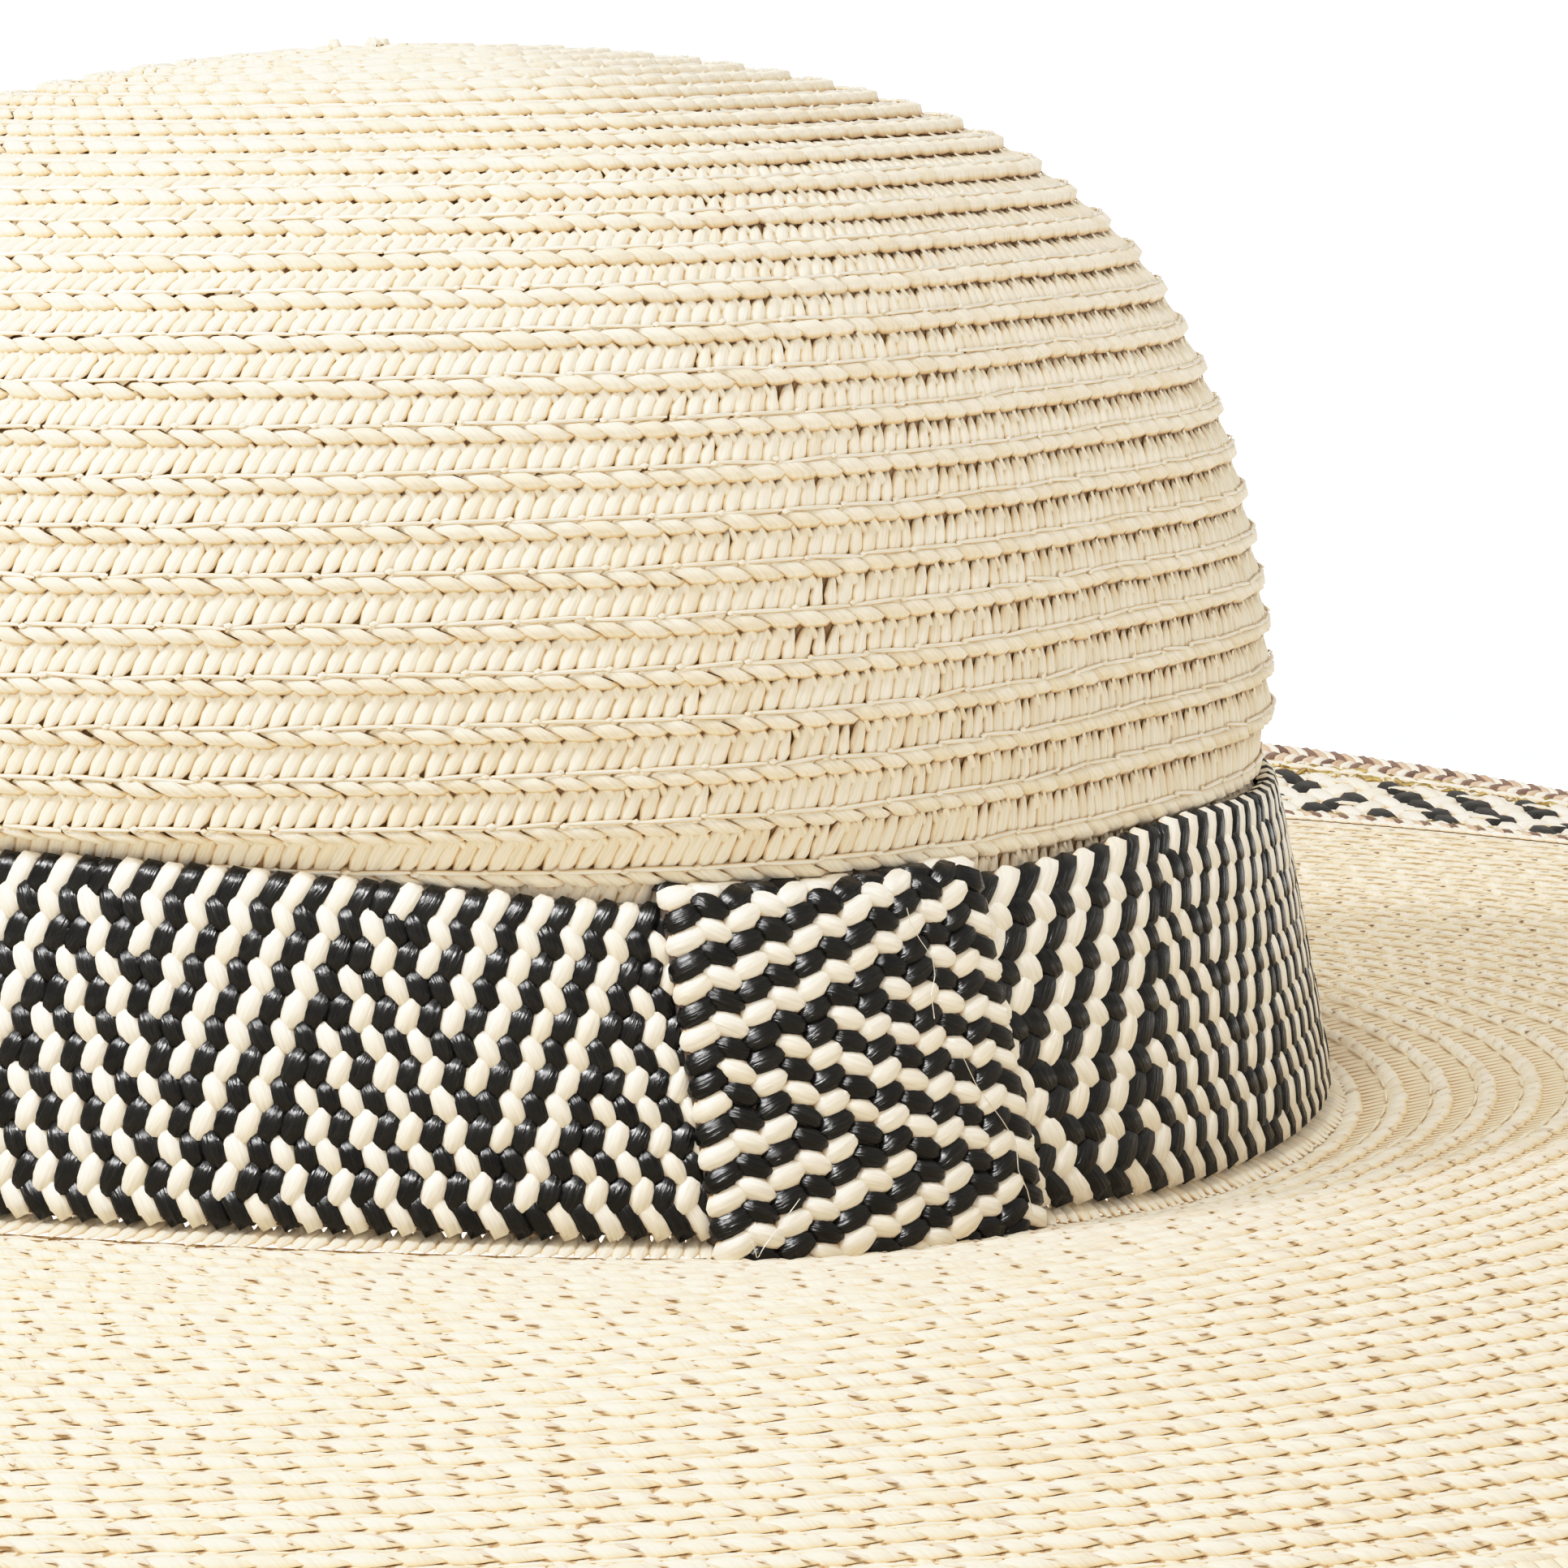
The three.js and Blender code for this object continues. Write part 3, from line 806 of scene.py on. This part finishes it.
def brim_row(weave, across):
    """One row of the brim: a fat cord, dashes of shade at its joins, and the sewing thread."""
    count = int(round(brim_girth(across) / (1.05 * LEAF)))
    size = brim_girth(across) / count
    start = rng.uniform(0, 360)
    # ends=0.9 paints shade in the crease at each join of the cord
    cord = lens(
        1.14 * size, 2.2 * MM, 0.75 * MM, stations=4, blunt=0.75, lean=1.0, tilt=0.16 * MM, full=4,
        grain=40, ends=0.9)
    weave.lay(brim_surface, ring(count, start), across, cord, base=-0.45 * MM, jitter=0.05)
    dash = turned(lens(1.9 * MM, 0.85 * MM, 0.25 * MM, stations=3, points=3, blunt=0.1), -38)
    joins = ring(count, start + 180 / count)[rng.uniform(0, 1, count) < JOINS_THAT_SHOW]
    place = across + 0.2 * MM
    weave.lay(brim_surface, joins, place, dash, material=1, slope=-0.12, base=0.1 * MM, jitter=0.2)
    stitch = lens(5.8 * MM, 0.4 * MM, 0.3 * MM, stations=3, points=3, blunt=0.5)
    place = across - 1.15 * MM
    weave.lay(brim_surface, ring(count // 2, start), place, stitch, base=0.02 * MM, jitter=0.03)


def make_brim():
    rows = PITCH * (np.arange(BRIM_ROWS) + FIRST_BRIM_ROW)
    for name, first, end in BRIM_PIECES:
        weave = Weave(name, [brim_straw, shaded])
        for across in rows[first:end]:
            brim_row(weave, across)
        dress(weave.build())
    make_brim_shell(rows)


def make_brim_shell(rows):
    """The strands between the cords above, the braid's back below, and a plain last ring."""
    shell = Weave("brim_shell", [back, groove])
    upper, dents = np.array([(-4.7, -0.4), (-3.4, -0.5), (0, -0.1)]).T * MM
    shell.strip(brim_surface, upper, dents, brim_girth, steps=160, material=1, rows=rows)
    lower, ribs = np.array([(-4.7, -2.0), (-4.3, -1.6), (-2.4, -1.8), (0, -2.0)]).T * MM
    shell.strip(brim_surface, lower, ribs, brim_girth, steps=160, flip=True, rows=rows)
    last = rows[-1:]
    edge = np.array([0, (1 - FIRST_BRIM_ROW) * PITCH])
    above, below = np.array([-0.2, -0.3]) * MM, np.array([-2.0, -2.0]) * MM
    shell.strip(brim_surface, edge, above, brim_girth, steps=160, material=1, rows=last)
    shell.strip(brim_surface, edge, below, brim_girth, steps=160, flip=True, rows=last)
    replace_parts(dress(shell.build()), "brim")


# Band and keeper

def is_black(column, row):
    """The zigzag: stripes leaning one way, then the other, between double black ridges."""
    u = column - row / 2
    period = np.floor(u / PLAIT_PERIOD)
    u = u - PLAIT_PERIOD * period
    v = u + row
    downward = v <= PLAIT_PERIOD - 1
    ridge = np.abs(u) < 0.25
    return np.where(downward, (np.round(v) % 2 == 0) | ridge, np.round(u - PLAIT_PERIOD) % 2 == 0)


RISING = turned(lens(4.6 * MM, 3.0 * MM, 1.1 * MM, stations=7, blunt=0.12, full=2, power=0.9), 67)
FALLING = turned(lens(4.0 * MM, 2.9 * MM, 1.1 * MM, stations=7, blunt=0.15, full=2, power=0.9), -70)
TOP_FOLD = turned(lens(5.0 * MM, 2.45 * MM, 0.9 * MM, stations=6, blunt=0.45), 62)
BOTTOM_FOLD = turned(lens(5.0 * MM, 2.45 * MM, 0.9 * MM, stations=6, blunt=0.45), -62)


def plait_shape(row):
    if row == 0:
        return TOP_FOLD
    if row == BAND_ROWS - 1:
        return BOTTOM_FOLD
    return RISING if row % 2 == 0 else FALLING


def make_band():
    weave = Weave("plaited_band", [charcoal, natural, core_shade])
    step = 360 / BAND_COLUMNS
    half = step / 2
    first = int(round((KEEPER_TOP + 180 - RIDGE_AZIMUTH) / step)) - BAND_COLUMNS
    for row in range(BAND_ROWS):
        columns = first + np.arange(BAND_COLUMNS) + (row % 2) / 2
        even = RIDGE_AZIMUTH + step * columns
        azimuth = np.interp(even, *PULLED)
        wide = (np.interp(even + half, *PULLED) - np.interp(even - half, *PULLED)) / step
        across = (row + 0.5) * BAND_PITCH - BAND_CORNER
        if row == 0:
            across += 0.1 * MM
        material = np.where(is_black(columns, row), 0, 1)
        shape = plait_shape(row)
        weave.lay(band_surface, azimuth, across, shape, material, base=-0.1 * MM, jitter=0.045, wide=wide)
    span = BAND_HEIGHT - 2 * BAND_CORNER
    face = np.array([-1.6, -0.6, 0, 6, 12, 18, 24]) * MM
    face = np.concatenate([face, span + np.array([0, 0.6, 1.6]) * MM])
    # The dark core under the stitches is painted shade that shows between them
    weave.strip(band_surface, face, np.full(len(face), 0.05 * MM), 1.0, material=2)
    inside = np.array([0, 0.5, 1]) * span
    weave.strip(band_surface, inside, np.full(3, -0.85 * MM), 1.0, material=2, flip=True)
    piece = dress(weave.build())
    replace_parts(piece, "hat_band")
    return piece


KEEPER_COLUMNS = 23
KEEPER_COLUMN = 2.15 * MM
KEEPER_START = 5.7

# Stray fibres on the keeper: shares of its width and height
LOOSE_FIBRES = (
    ((0.70, 0.03), (0.71, 0.07), (0.73, 0.12), (0.76, 0.18), (0.765, 0.23), (0.735, 0.28), (0.73, 0.35)),
    ((0.80, 0.46), (0.85, 0.56), (0.91, 0.67), (0.94, 0.74), (0.93, 0.82), (0.955, 0.88), (0.96, 0.95)),
    ((0.20, 0.80), (0.12, 0.88), (0.05, 0.95), (0.035, 0.90), (0.06, 0.86)),
)


def keeper_plait(weave):
    """The band's plait turned on its side, so its columns run down the keeper."""
    pitch = 2 * KEEPER_HALF / (BAND_ROWS - 1)
    for row in range(BAND_ROWS):
        column = np.arange(KEEPER_COLUMNS) + (row % 2) / 2
        down = (column - KEEPER_START) * KEEPER_COLUMN
        across = np.full(len(column), math.degrees((row * pitch) / KEEPER_RADIUS))
        inside = (down > -4.2 * MM) & (down < BAND_HEIGHT + 4.4 * MM)
        across, down = across[inside], down[inside]
        material = np.where(is_black(column, row), 0, 1)[inside]
        shape = transposed(plait_shape(row))
        weave.lay(keeper_surface, across, down, shape, material, base=-0.1 * MM, jitter=0.045)


def keeper_under_layer(weave, width):
    """Folded strands that show past the keeper's right edge."""
    down = np.arange(3, 30, 2.15) * MM
    azimuth = KEEPER_BOTTOM + width / 2 + 0.9 - 2 * (1 - down / BAND_HEIGHT)
    fold = turned(lens(4.4 * MM, 1.9 * MM, 0.9 * MM, stations=6, blunt=0.45), -50)
    material = np.where(np.arange(len(down)) % 5 == 3, 0, 1)
    weave.lay(band_surface, azimuth, down, fold, material, base=0.9 * MM)


def make_keeper():
    weave = Weave("plaited_keeper", [charcoal, natural, core_shade, thread])
    keeper_plait(weave)
    span = BAND_HEIGHT + 1.2 * MM
    ends = np.array([1.5, 3.6]) * MM
    reach = np.concatenate([-ends[::-1], np.linspace(0, span, 8), span + ends])
    width = math.degrees(2 * KEEPER_HALF / KEEPER_RADIUS)
    rim = math.degrees(3 * MM / KEEPER_RADIUS)
    sides = (-rim, width + rim)
    # The dark core under the stitches is painted shade that shows between them
    weave.strip(keeper_surface, reach, np.zeros(len(reach)), 1.0, steps=24, material=2, azimuths=sides)
    keeper_under_layer(weave, width)
    for places in LOOSE_FIBRES:
        across, fall = np.array(places).T
        weave.fibre(keeper_surface, across * width, fall * BAND_HEIGHT, 1.15 * MM, material=3)
    piece = dress(weave.build())
    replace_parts(piece, "band_keeper")
    return piece


# Trimming

CHEVRON_START = 6 * MM
GOLD_START = 29 * MM
EDGE_START = 34 * MM
PLAIT_ROWS = 5
PLAIT_ROW = 4.6 * MM
PLAIT_COLUMNS = 308
PLAIT_START = 238.5
TRIM_PERIOD = 7


def trim_row(weave, across, stitch, shape, colours, base=-0.2 * MM, jitter=0.04):
    """A ring of stitches whose materials repeat through the list of colours."""
    around = 2 * math.pi * (RIM_RADIUS - TRIM_WIDTH + across)
    count = int(round(around / stitch / len(colours))) * len(colours)
    material = np.array(colours)[np.arange(count) % len(colours)]
    azimuth = ring(count, rng.uniform(0, 9))
    weave.lay(trim_surface, azimuth, across, shape, material, base=base, jitter=jitter)


def trim_base(weave, start, end, material):
    """A plain wall under the stitches."""
    across = np.linspace(start, end, 4)
    weave.strip(trim_surface, across, np.full(4, -0.35 * MM), 1.0, material=material)
    weave.strip(trim_surface, across, np.full(4, -WALL), 1.0, material=material, flip=True)


def is_trim_black(column, row):
    """Stripes that lean one way, cut off by stripes that lean the other way below them."""
    u = np.mod(column - row / 2, TRIM_PERIOD)
    crossing = u + row - TRIM_PERIOD
    return np.round(np.where(crossing >= 0, crossing, u)) % 2 == 1


def make_inner_trim():
    weave = Weave("inner_trim", [natural, copper, brown, gold])
    trim_base(weave, 0, CHEVRON_START, 0)
    cord = lens(2.7 * MM, 1.7 * MM, 0.6 * MM, stations=4, lean=0.6)
    trim_row(weave, 1.2 * MM, 2.0 * MM, cord, (0, 0))
    leaf = turned(lens(3.6 * MM, 1.5 * MM, 0.7 * MM, blunt=0.15), -38)
    trim_row(weave, 3.4 * MM, 1.4 * MM, leaf, (0, 2, 1))
    line = lens(2.4 * MM, 0.6 * MM, 0.5 * MM, stations=3, points=3)
    trim_row(weave, 5.5 * MM, 1.5 * MM, line, (3, 3, 0), jitter=0.2)
    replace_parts(dress(weave.build()), "inner_braid")


def make_chevron_trim():
    weave = Weave("chevron_trim", [matt_black, natural, thread])
    trim_base(weave, CHEVRON_START, GOLD_START, 1)
    strand = lens(7.0 * MM, 4.4 * MM, 0.95 * MM, stations=6, blunt=0.2, full=2, power=0.7)
    rising, falling = turned(strand, 60), turned(strand, -60)
    for row in range(PLAIT_ROWS):
        columns = np.arange(PLAIT_COLUMNS) + (row % 2) / 2
        azimuth = PLAIT_START - columns * 360 / PLAIT_COLUMNS
        across = GOLD_START - (row + 0.5) * PLAIT_ROW
        material = np.where(is_trim_black(columns, row), 0, 1)
        shape = rising if row % 2 else falling
        weave.lay(trim_surface, azimuth, across, shape, material, base=-0.35 * MM, jitter=0.035)
    stitch = lens(4.6 * MM, 0.55 * MM, 0.5 * MM, points=3)
    for across in (11.5 * MM, 25 * MM):
        trim_row(weave, across, 10.4 * MM, stitch, (2,), base=0.3 * MM)
    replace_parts(dress(weave.build()), "chevron_braid")


def make_gold_trim():
    weave = Weave("gold_trim", [natural, gold])
    trim_base(weave, GOLD_START, EDGE_START, 0)
    for turn in (50, -50):
        scribble = turned(lens(2.4 * MM, 0.38 * MM, 0.4 * MM, stations=3, points=3), turn)
        trim_row(weave, 30.8 * MM, 1.1 * MM, scribble, (1, 1, 1, 0), jitter=0.5)
    trim_row(weave, 32.5 * MM, 4.0 * MM, lens(4.6 * MM, 1.1 * MM, 0.7 * MM), (0,))
    line = lens(2.6 * MM, 0.6 * MM, 0.5 * MM, stations=3, points=3)
    trim_row(weave, 33.6 * MM, 1.2 * MM, line, (1, 1, 0), jitter=0.25)
    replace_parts(dress(weave.build()), "gold_braid")


def make_edge_trim():
    weave = Weave("edge_trim", [natural, copper, brown])
    trim_base(weave, EDGE_START, TRIM_WIDTH, 0)
    for across, turn in ((35.7 * MM, 58), (39.2 * MM, -58)):
        leaf = turned(lens(4.7 * MM, 1.75 * MM, 0.8 * MM, blunt=0.2), turn)
        trim_row(weave, across, 1.45 * MM, leaf, (0, 1, 2))
    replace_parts(dress(weave.build()), "edge_braid")


# Stage

FLOOR_REACH = 40
WHITE = (1, 1, 1, 1)
STUDIO_LIGHT = (1, 0.94, 0.855, 1)

# Strength of the studio's light low down and high up, and the height where it is at its full
STUDIO_LOW = 0.45
STUDIO_HIGH = 0.86
STUDIO_RISE = 0.55

# Strength of the plain white that the camera sees
BACKDROP_STRENGTH = 2

# Lamps: azimuth, elevation, distance, width and height, power
KEY_LAMP = (12, 42, 1.1, (0.18, 0.18), 6.6)
TOP_LAMP = (55, 68, 1.0, (0.14, 0.14), 3.0)
GLOSS_LAMP = (54, 46, 1.0, (0.7, 0.25), 60)
LAMP_TARGET = Vector((0, 0, 0.06))

# Scene brightness and the brightness it is shown with
TONE_CURVE = (
    (0.3, 0.3), (0.6, 0.6), (0.8, 0.75), (0.95, 0.845), (1.1, 0.92), (1.3, 0.975), (1.5, 1), (2, 1),
)


def make_stage():
    """A white floor with light of its own, so that it shows as plain white."""
    mesh = bpy.data.meshes.new("floor")
    corners = [(x * FLOOR_REACH, y * FLOOR_REACH, 0) for x, y in ((-1, -1), (1, -1), (1, 1), (-1, 1))]
    mesh.from_pydata(corners, [], [(0, 1, 2, 3)])
    floor = bpy.data.objects.new("floor", mesh)
    bpy.context.scene.collection.objects.link(floor)
    nodes = Nodes("floor")
    shade = nodes.noise(nodes.add("ShaderNodeTexCoord").outputs["Object"], 3.0)
    nodes.colour(nodes.ramp(shade, (0.3, (0.93, 0.92, 0.9)), (0.7, (0.95, 0.94, 0.92))))
    nodes.set(Roughness=0.9, Specular_IOR_Level=0.1, Emission_Strength=1.0)
    nodes.shader.inputs["Emission Color"].default_value = WHITE
    mesh.materials.append(nodes.material)


def make_lamp(name, azimuth, elevation, distance, size, power):
    """A lamp of the given size that looks at the crown."""
    data = bpy.data.lights.new(name, "AREA")
    data.shape = "RECTANGLE"
    data.size, data.size_y = size
    data.energy = power
    lamp = bpy.data.objects.new(name, data)
    turn, rise = math.radians(azimuth), math.radians(elevation)
    away = Vector((math.cos(rise) * math.sin(turn), -math.cos(rise) * math.cos(turn), math.sin(rise)))
    lamp.location = LAMP_TARGET + distance * away
    lamp.rotation_euler = (-away).to_track_quat("-Z", "Y").to_euler()
    bpy.context.scene.collection.objects.link(lamp)
    return lamp


def make_gloss_lamp(pieces):
    """A long lamp that only shows as highlights on the given pieces."""
    lamp = make_lamp("gloss", *GLOSS_LAMP)
    lamp.visible_diffuse = False
    lit = bpy.data.collections.new("glossy_pieces")
    for piece in pieces:
        lit.objects.link(piece)
    lamp.light_linking.receiver_collection = lit


def make_world():
    """Dim low down and bright above, as in a studio, and plain white where the camera sees it."""
    world = bpy.data.worlds.new("studio")
    world.use_nodes = True
    tree = world.node_tree
    lit = tree.nodes["Background"]
    lit.inputs["Color"].default_value = STUDIO_LIGHT
    direction = tree.nodes.new("ShaderNodeTexCoord")
    split = tree.nodes.new("ShaderNodeSeparateXYZ")
    height = tree.nodes.new("ShaderNodeMapRange")
    height.inputs["From Max"].default_value = STUDIO_RISE
    height.inputs["To Min"].default_value = STUDIO_LOW
    height.inputs["To Max"].default_value = STUDIO_HIGH
    seen = tree.nodes.new("ShaderNodeBackground")
    seen.inputs["Color"].default_value = WHITE
    seen.inputs["Strength"].default_value = BACKDROP_STRENGTH
    ray = tree.nodes.new("ShaderNodeLightPath")
    choice = tree.nodes.new("ShaderNodeMixShader")
    for source, target in (
        (direction.outputs["Generated"], split.inputs[0]),
        (split.outputs["Z"], height.inputs["Value"]),
        (height.outputs["Result"], lit.inputs["Strength"]),
        (ray.outputs["Is Camera Ray"], choice.inputs[0]),
        (lit.outputs[0], choice.inputs[1]),
        (seen.outputs[0], choice.inputs[2]),
        (choice.outputs[0], tree.nodes["World Output"].inputs["Surface"]),
    ):
        tree.links.new(source, target)
    bpy.context.scene.world = world


def set_tone():
    """The soft shoulder of a camera's response: bright tones flatten before they reach white."""
    view = bpy.context.scene.view_settings
    view.view_transform = "Standard"
    view.use_curve_mapping = True
    mapping = view.curve_mapping
    mapping.clip_max_x = 2
    curve = mapping.curves[3]
    curve.points[1].location = TONE_CURVE[-1]
    for x, y in TONE_CURVE[:-1]:
        curve.points.new(x, y)
    mapping.update()


# The camera, fitted to the photograph's rows of braid: metres, degrees and millimetres
CAMERA_PLACE = (0.63197, -0.11143, 0.12397)
CAMERA_HEADING = 76.6865
CAMERA_PITCH = -7.355
CAMERA_ROLL = -0.8913
LENS = 139.70
SENSOR = 36


def make_camera():
    data = bpy.data.cameras.new("camera")
    data.sensor_width = SENSOR
    data.lens = LENS
    data.clip_start = 0.01
    camera = bpy.data.objects.new("camera", data)
    turn = Matrix.Rotation(math.radians(CAMERA_HEADING), 4, "Z")
    tip = Matrix.Rotation(math.radians(90 + CAMERA_PITCH), 4, "X")
    roll = Matrix.Rotation(math.radians(CAMERA_ROLL), 4, "Z")
    camera.matrix_world = Matrix.Translation(CAMERA_PLACE) @ turn @ tip @ roll
    bpy.context.scene.collection.objects.link(camera)
    bpy.context.scene.camera = camera


make_camera()
make_world()
make_lamp("key", *KEY_LAMP)
make_lamp("top", *TOP_LAMP)
make_stage()
set_tone()
make_crown()
make_brim()
make_gloss_lamp([make_band(), make_keeper()])
make_inner_trim()
make_chevron_trim()
make_gold_trim()
make_edge_trim()
